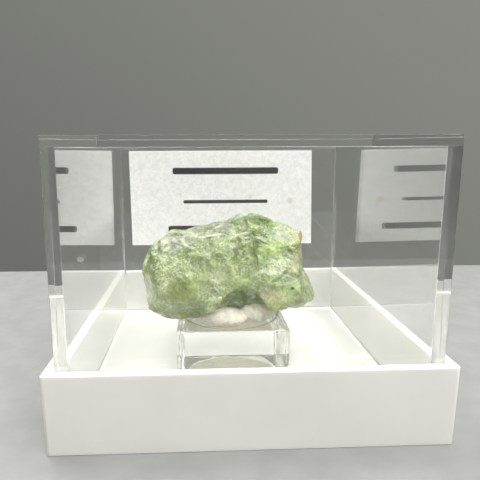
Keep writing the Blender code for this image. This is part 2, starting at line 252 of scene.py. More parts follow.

# Colour zones on the crystal, a few of them painted light and shade: centre, reach, turn seen from the
# front in degrees, tint, share
COLOUR_AND_LIGHT_ZONES = [
    ((-2.6, -6.6, 11.0), (2.8, 3.0, 1.5), 0, (0.56, 0.66, 0.31), 0.8),
    ((-2.7, -6.0, 9.4), (2.0, 3.0, 1.0), 0, (0.37, 0.45, 0.19), 0.8),
    ((-0.9, -6.2, 10.2), (1.0, 2.6, 1.0), 0, (0.62, 0.74, 0.35), 0.6),
    ((-3.4, -6.0, 12.5), (1.3, 3.0, 0.9), 0, (0.56, 0.68, 0.31), 0.6),
    ((-4.6, -7.0, 11.3), (1.1, 2.6, 0.9), 0, (0.42, 0.5, 0.22), 0.7),
    # Painted light, lifting a place that the form leaves dim
    ((-1.6, -6.2, 11.6), (1.2, 2.6, 0.9), 0, (0.88, 1.0, 0.55), 0.8),
    ((-0.3, -6.0, 12.3), (1.2, 3.0, 2.0), 0, (0.44, 0.53, 0.22), 0.7),
    ((1.3, -6.0, 12.0), (0.7, 3.0, 2.4), 0, (0.62, 0.74, 0.34), 0.75),
    ((0.0, -6.0, 10.8), (1.2, 3.0, 1.0), 0, (0.64, 0.8, 0.33), 0.8),
    ((-1.8, -5.0, 13.9), (1.3, 3.0, 0.9), 0, (0.42, 0.52, 0.24), 0.6),
    ((-3.9, -5.3, 14.25), (1.3, 2.6, 0.6), 0, (0.26, 0.32, 0.15), 0.85),
    ((-7.2, -4.8, 11.4), (1.4, 3.0, 1.6), 0, (0.4, 0.47, 0.14), 0.8),
    ((-6.9, -5.2, 12.9), (1.2, 2.6, 0.6), 0, (0.66, 0.76, 0.4), 0.7),
    ((-5.3, -6.8, 9.9), (1.3, 2.4, 1.1), 0, (0.42, 0.52, 0.11), 0.9),
    ((-6.2, -5.2, 7.5), (3.0, 3.0, 0.7), 0, (0.27, 0.37, 0.03), 0.9),
    ((-6.5, -3.9, 13.9), (1.7, 2.2, 0.8), 12, (0.94, 0.97, 0.7), 0.9),
    ((-2.6, -3.6, 14.9), (3.0, 2.0, 0.7), 8, (0.34, 0.38, 0.22), 0.85),
    ((-5.2, -4.0, 14.8), (0.8, 2.4, 0.5), 8, (0.66, 0.72, 0.46), 0.8),
    ((0.6, -3.4, 16.1), (1.6, 2.0, 0.25), 3, (0.12, 0.2, 0.04), 0.9),
    ((2.0, -3.5, 15.8), (0.9, 2.0, 0.45), -25, (0.12, 0.21, 0.04), 0.95),
    ((2.2, -4.0, 15.1), (0.9, 2.0, 0.8), -30, (0.17, 0.27, 0.07), 0.9),
    ((0.0, -4.0, 15.5), (1.0, 2.0, 0.6), 0, (0.42, 0.5, 0.24), 0.8),
    ((-0.1, -4.4, 15.05), (0.8, 2.4, 0.4), 0, (0.8, 0.92, 0.52), 0.8),
    ((3.7, -4.5, 14.9), (0.8, 2.0, 0.75), -25, (0.58, 0.61, 0.45), 0.9),
    # Painted shade, darker where the raised panel's top edge takes a highlight
    ((3.8, -5.8, 13.5), (1.0, 2.4, 0.8), 0, (0.4, 0.48, 0.2), 0.8),
    ((5.2, -4.6, 12.9), (0.6, 2.8, 1.7), 4, (0.52, 0.51, 0.25), 0.9),
    ((5.3, -4.0, 14.4), (0.4, 2.4, 0.8), -12, (0.55, 0.47, 0.25), 0.85),
    ((4.6, -6.6, 12.0), (0.7, 2.0, 0.75), 0, (0.56, 0.58, 0.25), 0.85),
    ((3.8, -7.2, 9.7), (1.7, 2.2, 1.1), 0, (0.7, 0.84, 0.38), 0.85),
    ((5.3, -5.4, 9.8), (0.9, 2.6, 1.1), 0, (0.46, 0.55, 0.22), 0.75),
    # Painted light on the lobe's lower left, which faces down and lies in shade
    ((2.4, -6.6, 9.6), (1.0, 2.4, 1.0), 0, (1.0, 1.0, 0.62), 0.95),
    ((3.3, -6.0, 8.4), (1.7, 2.2, 0.45), 0, (0.56, 0.72, 0.22), 0.9),
    # The hollow's own dark green, deepened with painted shade
    ((0.3, -5.0, 8.8), (1.3, 1.6, 0.7), 0, (0.28, 0.46, 0.02), 0.95),
    ((0.8, -5.6, 9.7), (0.9, 2.2, 0.55), 0, (0.78, 0.95, 0.4), 0.85),
    ((-1.3, -5.2, 8.5), (1.0, 1.6, 0.5), 0, (0.2, 0.29, 0.05), 0.85),
    # Painted highlights: the glassy white of the low left rim
    ((-8.8, -3.8, 9.2), (0.6, 2.2, 1.2), 5, (0.93, 0.96, 0.76), 0.9),
    ((-9.0, -2.6, 12.2), (0.35, 2.0, 0.9), 5, (0.24, 0.36, 0.06), 0.8),
]

# The yellower panel that stands out on the front's right, in parts with crisp borders, given the same way
PANEL_ZONES = [
    ((2.35, -6.2, 13.3), (1.2, 3.0, 0.95), 0, (0.56, 0.71, 0.24), 0.85),
    ((2.4, -6.2, 12.1), (1.25, 3.0, 1.1), 0, (0.46, 0.58, 0.26), 0.85),
    ((2.6, -6.2, 11.0), (1.2, 3.0, 0.9), 0, (0.42, 0.53, 0.23), 0.85),
    ((3.0, -6.9, 12.1), (0.8, 2.0, 0.55), 25, (0.78, 0.84, 0.52), 0.85),
]

# Small crisp marks, given the same way: creases with painted shade, bright edges that are painted highlights,
# the step's painted shadow, a dot and a pale chip
FINE_MARKS_AND_PAINTED_LIGHT = [
    # A crease's painted shade, and a painted highlight along its lower side
    ((1.5, -5.6, 14.5), (1.35, 1.5, 0.12), -33, (0.2, 0.28, 0.1), 0.8),
    ((1.9, -5.8, 14.35), (0.75, 1.5, 0.09), -27, (0.95, 0.98, 0.8), 0.9),
    # The step's painted shadow
    ((1.05, -6.0, 12.7), (0.12, 1.8, 1.3), 3, (0.24, 0.33, 0.12), 0.2),
    # Painted shadow between the hollow and the lobe
    ((1.4, -5.8, 9.1), (0.16, 1.8, 0.7), 0, (0.16, 0.24, 0.06), 0.6),
    # Painted shade along the lobe's upper border
    ((3.1, -7.3, 11.3), (0.8, 1.5, 0.15), 28, (0.25, 0.36, 0.1), 0.85),
    ((4.5, -7.0, 11.35), (0.9, 1.5, 0.15), -22, (0.27, 0.37, 0.1), 0.8),
    ((3.7, -6.0, 13.7), (0.9, 1.5, 0.13), -8, (0.33, 0.44, 0.16), 0.7),
    ((4.1, -5.8, 12.9), (0.5, 1.5, 0.1), -35, (0.3, 0.4, 0.14), 0.7),
    ((4.21, -7.65, 10.42), (0.16, 1.0, 0.12), 0, (0.1, 0.13, 0.05), 1.0),
    ((0.8, -5.2, 9.2), (0.36, 2.4, 0.2), 35, (1.0, 1.0, 0.9), 1.0),
    ((1.05, -5.2, 8.9), (0.18, 2.4, 0.3), -20, (0.95, 1.0, 0.8), 1.0),
    # Painted highlights along the edges of the layered plates, and painted shade between two of them
    ((-5.6, -4.5, 13.95), (1.6, 1.5, 0.07), -13, (0.97, 0.98, 0.9), 0.95),
    ((-5.9, -4.2, 13.8), (1.4, 1.5, 0.07), -13, (0.3, 0.34, 0.24), 0.8),
    ((-6.3, -3.7, 14.15), (1.0, 1.5, 0.12), 6, (0.97, 0.98, 0.92), 0.9),
    ((-5.85, -3.4, 14.75), (0.35, 1.2, 0.3), 0, (0.32, 0.4, 0.18), 0.9),
    ((-4.3, -4.3, 14.5), (1.1, 1.5, 0.08), -5, (0.92, 0.96, 0.8), 0.85),
    ((-2.6, -4.3, 14.62), (0.9, 1.5, 0.07), 7, (0.9, 0.95, 0.76), 0.7),
    ((-2.2, -3.3, 15.2), (0.8, 1.5, 0.07), 24, (0.9, 0.95, 0.78), 0.6),
    ((-2.4, -6.3, 10.0), (0.4, 1.2, 0.08), -50, (0.95, 0.98, 0.86), 0.9),
]

# Dull place at the crystal's peak: centre, reach, roughness
DULL_PEAK = ((1.4, -3.4, 16.0), (1.8, 2.4, 0.7), 0.22)

# Camera, solved from the edges of the box in the photograph: place in mm, turns in radians, and the nearest
# distance that it sees, in metres
CAMERA_PLACE = (-3.799, -46.665, 22.227)
CAMERA_PITCH = 0.20246
CAMERA_YAW = -0.041114
CAMERA_ROLL = -0.0037372
FOCAL_PIXELS = 464.323
CENTRE_PIXEL = (219.137, 246.248)
FRAME_PIXELS = 480
SENSOR = 36.0
NEAREST_SEEN = 0.001

# Table top: its corners in metres
TABLE_LOW = (-0.17, -0.08, -0.01)
TABLE_HIGH = (0.17, 0.04, 0.0)

# Grey surroundings: the way in which they grow lighter, where along it that starts and ends, and both greys
ROOM_SLOPE = (0.6, 0.0, 0.8)
ROOM_START = -0.45
ROOM_END = 0.55
ROOM_DARK = (0.15, 0.152, 0.14, 1.0)
ROOM_LIGHT = (0.255, 0.265, 0.236, 1.0)

# Studio lights: name, place in metres, width in metres, power in watts, and the place that all of them face
STUDIO_LIGHTS = [
    ("front top", (0.01, -0.15, 0.27), 0.2, 0.86),
    ("right", (0.12, -0.1, 0.12), 0.14, 0.2),
    ("window", (0.13, 0.05, 0.24), 0.18, 0.42),
    ("rear left", (-0.12, 0.1, 0.2), 0.18, 0.55),
]
LIT_PLACE = (0.0, 0.0, 0.01)

# Bounces that the light takes through the clear walls before it is given up
LIGHT_BOUNCES = 48


def deselect_all():
    bpy.ops.object.select_all(action="DESELECT")


def take(obj):
    """Selects one object alone and makes it the active one."""
    deselect_all()
    obj.select_set(True)
    bpy.context.view_layer.objects.active = obj


def added(name):
    """The object that an operator has just added, under the name of its piece."""
    obj = bpy.context.object
    obj.name = name
    obj.data.name = name
    return obj


def settle(obj):
    """Puts the object's place, turn and scale into its mesh."""
    take(obj)
    bpy.ops.object.transform_apply(location=True, rotation=True, scale=True)


def add_box(name, low, high):
    """A plain box between two corners, the start of a piece."""
    deselect_all()
    bpy.ops.mesh.primitive_cube_add(size=1, location=(low + high) / 2, scale=high - low)
    box = added(name)
    settle(box)
    return box


def join(pieces, name):
    """Joins separate pieces into one object under this name."""
    deselect_all()
    for piece in pieces:
        piece.select_set(True)
    bpy.context.view_layer.objects.active = pieces[0]
    bpy.ops.object.join()
    return added(name)


def edit(obj):
    take(obj)
    bpy.ops.object.mode_set(mode="EDIT")


def done():
    bpy.ops.object.mode_set(mode="OBJECT")


def choose(obj, kind, passes):
    """In edit mode, selects the faces or edges that pass and nothing else."""
    bpy.ops.mesh.select_mode(type=kind)
    bpy.ops.mesh.select_all(action="DESELECT")
    bm = bmesh.from_edit_mesh(obj.data)
    for item in bm.faces if kind == "FACE" else bm.edges:
        if passes(item):
            item.select_set(True)
    bmesh.update_edit_mesh(obj.data)


def round_off(obj, passes, size, segments):
    """In edit mode, rounds the edges that pass. The size is in mm."""
    choose(obj, "EDGE", passes)
    bpy.ops.mesh.bevel(offset=size * MM, segments=segments, affect="EDGES")


def draw_out(way):
    """In edit mode, draws the flat face that is selected out into a closed solid."""
    bpy.ops.mesh.extrude_region_move(TRANSFORM_OT_translate={"value": way})
    bpy.ops.mesh.select_all(action="SELECT")
    bpy.ops.mesh.normals_make_consistent(inside=False)


def faces_up(face):
    return face.normal.z > ALONG_AXIS


def faces_down(face):
    return face.normal.z < -ALONG_AXIS


def middle_of(edge):
    return (edge.verts[0].co + edge.verts[1].co) / 2


def upright(edge):
    way = edge.verts[1].co - edge.verts[0].co
    return abs(way.z) > ALONG_AXIS * way.length


def at_height(edge, *heights):
    """Whether both ends of the edge lie at one of these heights."""
    return any(all(abs(vert.co.z - z) < SAME_HEIGHT * MM for vert in edge.verts) for z in heights)


def is_corner(edge):
    return edge.calc_face_angle(0.0) > CORNER_ANGLE


def is_outer(edge, distance):
    """Whether the edge stands further out than this, in a square box round the middle."""
    place = middle_of(edge)
    return max(abs(place.x), abs(place.y)) > distance


def apply_modifier(obj, kind, **settings):
    """Adds one modifier with these settings and applies it."""
    take(obj)
    modifier = obj.modifiers.new(kind.lower(), kind)
    for name, value in settings.items():
        setattr(modifier, name, value)
    bpy.ops.object.modifier_apply(modifier=modifier.name)


def shade(obj, smooth):
    for face in obj.data.polygons:
        face.use_smooth = smooth


def smooth_the_rounds(obj, largest):
    """Shades the narrow faces of the rounded edges smooth and leaves the wide flat ones flat."""
    for face in obj.data.polygons:
        face.use_smooth = face.area < largest * MM * MM


def stand_for(obj, node):
    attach(obj, "root")
    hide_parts(node)


def make_tray():
    """White tray: a tapered box with a pocket pressed into it, and every edge rounded."""
    low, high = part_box("tray")
    half = (high.x - low.x) / 2
    tray = add_box("moulded_tray", low, high)
    edit(tray)
    choose(tray, "FACE", faces_down)
    foot_share = 1 - TRAY_TAPER * MM / half
    bpy.ops.transform.resize(value=(foot_share, foot_share, 1))
    choose(tray, "FACE", faces_up)
    bpy.ops.mesh.inset(thickness=TRAY_WALL * MM)
    floor_z = low.z + TRAY_FLOOR * MM
    bpy.ops.mesh.extrude_region_move(TRANSFORM_OT_translate={"value": (0, 0, floor_z - high.z)})
    wall_middle = half - TRAY_WALL * MM / 2 - TRAY_TAPER * MM / 2
    round_off(tray, lambda edge: upright(edge) and is_outer(edge, wall_middle), TRAY_CORNER, 6)
    round_off(
        tray,
        lambda edge: upright(edge) and is_corner(edge) and not is_outer(edge, wall_middle),
        TRAY_INNER_CORNER,
        4,
    )
    round_off(tray, lambda edge: is_corner(edge) and at_height(edge, high.z, low.z), TRAY_RIM_ROUND, 4)
    round_off(tray, lambda edge: is_corner(edge) and at_height(edge, floor_z), TRAY_FLOOR_FILLET, 5)
    done()
    smooth_the_rounds(tray, ROUND_FACE)
    stand_for(tray, "tray")
    tray.data.materials.append(white_plastic())


def make_lid():
    """Clear lid: a tapered box with a pocket pressed up into it from below, and every edge rounded."""
    low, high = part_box("lid")
    half = (high.x - low.x) / 2
    top_share = LID_HALF_TOP / LID_HALF_FOOT
    lid = add_box("clear_lid", low, high)
    edit(lid)
    choose(lid, "FACE", faces_up)
    bpy.ops.transform.resize(value=(top_share, top_share, 1))
    choose(lid, "FACE", faces_down)
    bpy.ops.mesh.inset(thickness=LID_WALL * MM)
    roof_z = high.z - LID_ROOF * MM
    bpy.ops.mesh.extrude_region_move(TRANSFORM_OT_translate={"value": (0, 0, roof_z - low.z)})
    bpy.ops.transform.resize(value=(top_share, top_share, 1))
    wall_middle = half - LID_WALL * MM / 2 - (LID_HALF_FOOT - LID_HALF_TOP) * MM / 2
    round_off(lid, lambda edge: upright(edge) and is_outer(edge, wall_middle), LID_CORNER, 4)
    for side, corner in ((-1, LID_INNER_CORNER_FRONT), (1, LID_INNER_CORNER_REAR)):
        round_off(
            lid,
            lambda edge: upright(edge)
            and is_corner(edge)
            and not is_outer(edge, wall_middle)
            and middle_of(edge).y * side > 0,
            corner,
            3,
        )
    round_off(lid, lambda edge: is_corner(edge) and at_height(edge, high.z, roof_z), LID_ROUND, 4)
    done()
    smooth_the_rounds(lid, ROUND_FACE)
    stand_for(lid, "lid")
    lid.data.materials.append(clear_plastic())


def make_card():
    """Paper card: a thin sheet with a faint bow, a little wider at its foot."""
    low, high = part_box("label_card")
    size = high - low
    deselect_all()
    bpy.ops.mesh.primitive_grid_add(
        x_subdivisions=24, y_subdivisions=12, size=1, location=(low + high) / 2, rotation=(math.pi / 2, 0, 0)
    )
    card = added("paper_card")
    card.scale = (size.x, size.z, 1)
    settle(card)
    for vert in card.data.vertices:
        across = (vert.co.x - low.x) / size.x
        up = (vert.co.z - low.z) / size.z
        vert.co.x -= across * up * CARD_SLANT * MM
        vert.co.y = high.y - CARD_BACK * MM - CARD_BOW * MM * math.sin(math.pi * across)
    apply_modifier(card, "SOLIDIFY", thickness=CARD_THICK * MM, offset=1.0)
    stand_for(card, "label_card")
    card.data.materials.append(white_paper())
    return card


def make_printed_rules(card):
    """Printed rules where the card's lines stand: flat bars with round ends, just proud of the paper."""
    front = min(vert.co.y for vert in card.data.vertices)
    bars = []
    for left, right, height, tall in PRINTED_RULES:
        deselect_all()
        bpy.ops.mesh.primitive_plane_add(size=1, rotation=(math.pi / 2, 0, 0))
        bar = bpy.context.object
        bar.location = ((left + right) / 2 * MM, front - RULE_LIFT * MM, height * MM)
        bar.scale = ((right - left) * MM, tall * MM, 1)
        settle(bar)
        edit(bar)
        bpy.ops.mesh.select_all(action="SELECT")
        bpy.ops.mesh.bevel(offset=tall * RULE_ROUND * MM, segments=4, affect="VERTICES")
        draw_out((0, RULE_THICK * MM, 0))
        done()
        bars.append(bar)
    rules = join(bars, "printed_rules")
    rules.data.materials.append(printing_ink())
    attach(rules, "root")


def make_block():
    """Clear block, cut square, its edges eased and its rear edges worn. It reaches down onto the pad."""
    low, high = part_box("acrylic_block")
    low.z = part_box("tray")[0].z + (TRAY_FLOOR + PAD_THICK) * MM
    middle = (low + high) / 2
    block = add_box("clear_block", low, high)

    def rear_left(edge):
        place = middle_of(edge)
        return upright(edge) and place.y > middle.y and place.x < middle.x

    def rear_right(edge):
        place = middle_of(edge)
        return is_corner(edge) and place.y > middle.y and place.x > high.x - MM

    edit(block)
    round_off(block, rear_left, BLOCK_REAR_LEFT, 3)
    round_off(block, rear_right, BLOCK_REAR_RIGHT, 3)
    round_off(block, is_corner, BLOCK_ROUND, 3)
    done()
    smooth_the_rounds(block, BLOCK_ROUND_FACE)
    stand_for(block, "acrylic_block")
    block.data.materials.append(clear_acrylic())
    return block


def make_pad(block):
    """Round adhesive pad between the tray's floor and the block, which it wets."""
    low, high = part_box("base_pad")
    floor_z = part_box("tray")[0].z + TRAY_FLOOR * MM
    top = min(vert.co.z for vert in block.data.vertices) + PAD_WET * MM
    centre = (low + high) / 2
    deselect_all()
    bpy.ops.mesh.primitive_cylinder_add(
        vertices=64,
        radius=(high.x - low.x) / 2,
        depth=top - floor_z,
        location=(centre.x, centre.y, (top + floor_z) / 2),
    )
    pad = added("adhesive_pad")
    settle(pad)
    edit(pad)
    round_off(pad, is_corner, PAD_ROUND, 2)
    done()
    smooth_the_rounds(pad, ROUND_FACE)
    stand_for(pad, "base_pad")
    pad.data.materials.append(adhesive())
    return pad


def make_glue(pad):
    """Thin white glue that has run out round the pad on the tray's floor, a little lower than its top."""
    floor_z = min(vert.co.z for vert in pad.data.vertices)
    top = max(vert.co.z for vert in pad.data.vertices) - GLUE_BELOW_PAD * MM
    deselect_all()
    bpy.ops.mesh.primitive_circle_add(vertices=len(GLUE_EDGE), radius=MM, fill_type="NGON")
    glue = added("glue_film")
    for vert, (x, y) in zip(glue.data.vertices, GLUE_EDGE):
        vert.co = (x * MM, y * MM, floor_z)
    edit(glue)
    bpy.ops.mesh.select_all(action="SELECT")
    draw_out((0, 0, top - floor_z))
    done()
    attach(glue, "root")
    glue.data.materials.append(white_glue())


def make_putty():
    """Mineral putty: lumps pressed together, flat where they sit on the block."""
    seat_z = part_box("acrylic_block")[1].z
    lumps = []
    for centre, reach, turn in PUTTY_LUMPS:
        deselect_all()
        bpy.ops.mesh.primitive_ico_sphere_add(subdivisions=5, radius=1, location=[c * MM for c in centre])
        lump = bpy.context.object
        lump.scale = [r * MM for r in reach]
        lump.rotation_euler.z = math.radians(turn)
        settle(lump)
        edit(lump)
        bpy.ops.mesh.select_all(action="SELECT")
        bpy.ops.mesh.bisect(
            plane_co=(0, 0, seat_z - PUTTY_SEAT * MM), plane_no=(0, 0, 1), use_fill=True, clear_inner=True
        )
        done()
        lumps.append(lump)
    putty = join(lumps, "mineral_putty")
    apply_modifier(putty, "REMESH", mode="VOXEL", voxel_size=PUTTY_VOXEL * MM)
    apply_modifier(putty, "SMOOTH", factor=0.5, iterations=1)
    for name, size, height in PUTTY_SKIN:
        skin = bpy.data.textures.new(name, "CLOUDS")
        skin.noise_scale = size * MM
        apply_modifier(
            putty, "DISPLACE", texture=skin, texture_coords="LOCAL", strength=height * MM, mid_level=0.5
        )
    shade(putty, True)
    stand_for(putty, "mounting_putty")
    putty.data.materials.append(putty_cream())


def make_brown_ring():
    """The ring on the block's top: a torus pressed almost flat, just above the face."""
    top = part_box("acrylic_block")[1].z
    (x, y), radius, half_width = BROWN_RING
    deselect_all()
    bpy.ops.mesh.primitive_torus_add(
        major_segments=96,
        minor_segments=8,
        major_radius=radius * MM,
        minor_radius=half_width * MM,
        location=(x * MM, y * MM, top + RING_LIFT * MM),
    )
    ring = added("brown_ring")
    ring.scale.z = RING_FLATTENED
    settle(ring)
    shade(ring, True)
    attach(ring, "root")
    ring.data.materials.append(brown_film())


def reaches_away(points, centre, reach, power=2):
    """How far each point is from a place, in shares of its reach. A high power makes the place squarer."""
    return np.linalg.norm((points - np.array(centre) * MM) / (np.array(reach) * MM), ord=power, axis=1)


def eased(share):
    """A share kept between 0 and 1, which leaves both ends gently."""
    share = np.clip(share, 0.0, 1.0)
    return share * share * (3 - 2 * share)


def pull_places(points):
    """Pulls a few rounded places of the form outwards or inwards."""
    moved = points.copy()
    for centre, reach, pull in PULLED_PLACES:
        share = eased(1.0 - reaches_away(points, centre, reach))
        moved += share[:, None] * np.array(pull) * MM
    return moved


def press_facets(points, facets, fade=FACET_FADE, power=2):
    """Presses flat faces into the form, each fading out round its edge."""
    for centre, normal, reach, hold in facets:
        plane = np.array(normal) / np.linalg.norm(normal)
        share = hold * eased((FACET_END - reaches_away(points, centre, reach, power)) / fade)
        height = (points - np.array(centre) * MM) @ plane
        points = points - (share * height)[:, None] * plane
    return points


def roughness_at(points):
    """How much the surface is crumbled at each place: little on the glassy faces, much in the middle."""
    amount = np.ones(len(points))
    for centre, reach, level in CALM_PLACES:
        share = np.clip((CALM_END - reaches_away(points, centre, reach)) / CALM_FADE, 0.0, 1.0)
        amount = amount * (1 - share) + level * share
    return amount


def break_into_chips(mesh, rng, count, tilt, ledge, nearness, cut, limit):
    """Moves each vertex onto the flat planes of the chips round it."""
    points = np.array([vert.co[:] for vert in mesh.vertices])
    normals = np.array([normal.vector[:] for normal in mesh.vertex_normals])
    picks = rng.choice(len(points), size=count, replace=False)
    middles = points[picks] + normals[picks] * rng.normal(0.0, ledge * MM, (count, 1))
    planes = normals[picks] + rng.normal(0.0, tilt, (count, 3))
    planes /= np.linalg.norm(planes, axis=1, keepdims=True)
    tree = kdtree.KDTree(count)
    for i, middle in enumerate(middles):
        tree.insert(middle, i)
    tree.balance()
    amounts = roughness_at(points)
    for vert, point, normal, amount in zip(mesh.vertices, points, normals, amounts):
        found = tree.find_n(point, NEAREST_CHIPS)
        near = [item[1] for item in found]
        away = np.array([item[2] for item in found])
        facing = np.clip(planes[near] @ normal, STEEPEST_CHIP, None)
        step = ((middles[near] - point) * planes[near]).sum(axis=1) / facing
        step = np.clip(step, -limit * MM, limit * MM)
        weight = np.exp(-nearness * (away - away[0]) - cut * (step - step.min()))
        vert.co = point + normal * (amount * (weight @ step) / weight.sum())


def make_crystal():
    """The rough crystal: the solid's own form, finely meshed, with pulled places, flat faces and chips."""
    deselect_all()
    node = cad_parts["garnet_crystal"]
    crystal = node.copy()
    crystal.data = node.data.copy()
    bpy.context.collection.objects.link(crystal)
    crystal.parent = None
    crystal.data.materials.clear()
    for key in list(crystal.keys()):
        del crystal[key]
    crystal.name = "rough_garnet"
    crystal.data.name = "rough_garnet"
    edit(crystal)
    bpy.ops.mesh.select_all(action="SELECT")
    bpy.ops.mesh.remove_doubles(threshold=CRYSTAL_WELD * MM)
    done()
    apply_modifier(crystal, "REMESH", mode="VOXEL", voxel_size=CRYSTAL_VOXEL * MM)
    apply_modifier(crystal, "SMOOTH", factor=0.5, iterations=CRYSTAL_SMOOTHING)
    points = np.array([vert.co[:] for vert in crystal.data.vertices])
    points = pull_places(points)
    points = press_facets(points, FRONT_FACETS)
    points = press_facets(points, RAISED_FACETS, RAISED_FADE, RAISED_POWER)
    crystal.data.vertices.foreach_set("co", points.ravel())
    crystal.data.update()
    rng = np.random.default_rng(CHIP_SEED)
    for chips in CHIP_PASSES:
        break_into_chips(crystal.data, rng, **chips)
    shade(crystal, False)
    stand_for(crystal, "garnet_crystal")
    crystal.data.materials.append(garnet_green())


class Finish:
    """One material while it is built: its shader, and short ways to hang patterns on it. Sizes are in mm."""

    def __init__(self, name, **sockets):
        self.material = bpy.data.materials.new(name)
        self.material.use_nodes = True
        self.tree = self.material.node_tree
        self.shader = self.tree.nodes["Principled BSDF"]
        for socket, value in sockets.items():
            self.shader.inputs[socket.replace("_", " ")].default_value = value
        place = self.tree.nodes.new("ShaderNodeTexCoord")
        scaled = self.tree.nodes.new("ShaderNodeMapping")
        scaled.inputs["Scale"].default_value = (1 / MM, 1 / MM, 1 / MM)
        self.link(place.outputs["Object"], scaled.inputs["Vector"])
        self.place = scaled.outputs["Vector"]
        self.ragged = None

    def link(self, source, target):
        self.tree.links.new(source, target)

    def set(self, socket, source):
        self.link(source, self.shader.inputs[socket])

    def stretched(self, scale, turn=(0, 0, 0)):
        """A place in which patterns are drawn out by the scale, along axes turned by the turn."""
        node = self.tree.nodes.new("ShaderNodeMapping")
        node.vector_type = "TEXTURE"
        node.inputs["Scale"].default_value = scale
        node.inputs["Rotation"].default_value = turn
        self.link(self.place, node.inputs["Vector"])
        return node.outputs["Vector"]

    def noise(self, size, detail=3.0, roughness=0.5, distortion=0.0, place=None):
        node = self.tree.nodes.new("ShaderNodeTexNoise")
        node.inputs["Scale"].default_value = 1 / size
        node.inputs["Detail"].default_value = detail
        node.inputs["Roughness"].default_value = roughness
        node.inputs["Distortion"].default_value = distortion
        self.link(place or self.place, node.inputs["Vector"])
        return node.outputs["Fac"]

    def cells(self, size, feature="F1", output="Distance", place=None):
        node = self.tree.nodes.new("ShaderNodeTexVoronoi")
        node.feature = feature
        node.inputs["Scale"].default_value = 1 / size
        self.link(place or self.place, node.inputs["Vector"])
        return node.outputs[output]

    def ramp(self, source, low, high, to_low=0.0, to_high=1.0, smooth=True):
        node = self.tree.nodes.new("ShaderNodeMapRange")
        node.interpolation_type = "SMOOTHSTEP" if smooth else "LINEAR"
        node.clamp = True
        node.inputs["From Min"].default_value = low
        node.inputs["From Max"].default_value = high
        node.inputs["To Min"].default_value = to_low
        node.inputs["To Max"].default_value = to_high
        self.link(source, node.inputs["Value"])
        return node.outputs["Result"]

    def maths(self, operation, first, second):
        node = self.tree.nodes.new("ShaderNodeMath")
        node.operation = operation
        for socket, value in zip(node.inputs, (first, second)):
            if isinstance(value, (int, float)):
                socket.default_value = value
            else:
                self.link(value, socket)
        return node.outputs["Value"]

    def highest(self, sources):
        """The highest of several patterns, none of which goes below 0."""
        top = 0.0
        for source in sources:
            top = self.maths("MAXIMUM", top, source)
        return top

    def mix(self, share, first, second):
        """Mixes two colours, each a colour or a socket, by a share that is a number or a socket."""
        node = self.tree.nodes.new("ShaderNodeMix")
        node.data_type = "RGBA"
        node.clamp_factor = True
        ends = ((node.inputs[0], share), (node.inputs[6], first), (node.inputs[7], second))
        for socket, value in ends:
            if isinstance(value, (int, float)):
                socket.default_value = value
            elif isinstance(value, tuple):
                socket.default_value = (*value, 1.0)
            else:
                self.link(value, socket)
        return node.outputs[2]

    def tinted(self, colour, strength):
        """A colour made lighter or darker by a strength that is a number or a socket."""
        node = self.tree.nodes.new("ShaderNodeVectorMath")
        node.operation = "SCALE"
        self.link(colour, node.inputs[0])
        if isinstance(strength, float):
            node.inputs["Scale"].default_value = strength
        else:
            self.link(strength, node.inputs["Scale"])
        return node.outputs["Vector"]

    def patch(self, centre, reach, turn=0.0, soft=0.4, wobble=0.7):
        """1 inside a soft ellipsoid round one place on the piece, in mm, and 0 outside."""
        node = self.tree.nodes.new("ShaderNodeMapping")
        node.vector_type = "TEXTURE"
        node.inputs["Location"].default_value = centre
        node.inputs["Rotation"].default_value = (0, -math.radians(turn), 0)
        node.inputs["Scale"].default_value = reach
        self.link(self.place, node.inputs["Vector"])
        length = self.tree.nodes.new("ShaderNodeVectorMath")
        length.operation = "LENGTH"
        self.link(node.outputs["Vector"], length.inputs[0])
        if not self.ragged:
            self.ragged = self.noise(0.9, 5.0, 0.65)
        away = self.maths("ADD", length.outputs["Value"], self.maths("MULTIPLY", self.ragged, wobble))
        edge = 1.0 + wobble / 2
        return self.ramp(away, edge - soft, edge + soft, 1.0, 0.0)

    def painted(self, colour, zones, **edge):
        """Lays tints over a colour, each in a patch: centre, reach, turn, tint and share."""
        for centre, reach, turn, tint, share in zones:
            shown = self.maths("MULTIPLY", self.patch(centre, reach, turn, **edge), share)
            colour = self.mix(shown, colour, tint)
        return colour

    def bump(self, height, depth):
        """Presses a pattern into the surface, depth in mm."""
        node = self.tree.nodes.new("ShaderNodeBump")
        node.inputs["Distance"].default_value = depth * MM
        self.link(height, node.inputs["Height"])
        return node.outputs["Normal"]


def white_plastic():
    finish = Finish(
        "white moulded plastic",
        Roughness=0.32,
        IOR=1.55,
        Subsurface_Weight=0.4,
        Subsurface_Radius=(1.0, 0.97, 0.9),
        Subsurface_Scale=0.6 * MM,
    )
    cloud = finish.ramp(finish.noise(6.0, 3.0), 0.35, 0.7)
    colour = finish.mix(cloud, (0.71, 0.705, 0.67), (0.68, 0.675, 0.64))
    finish.set("Base Color", colour)
    finish.set("Roughness", finish.ramp(finish.noise(3.0, 4.0, 0.6), 0.3, 0.7, 0.3, 0.4))
    finish.set("Normal", finish.bump(finish.noise(0.35, 4.0, 0.6), 0.003))
    return finish.material


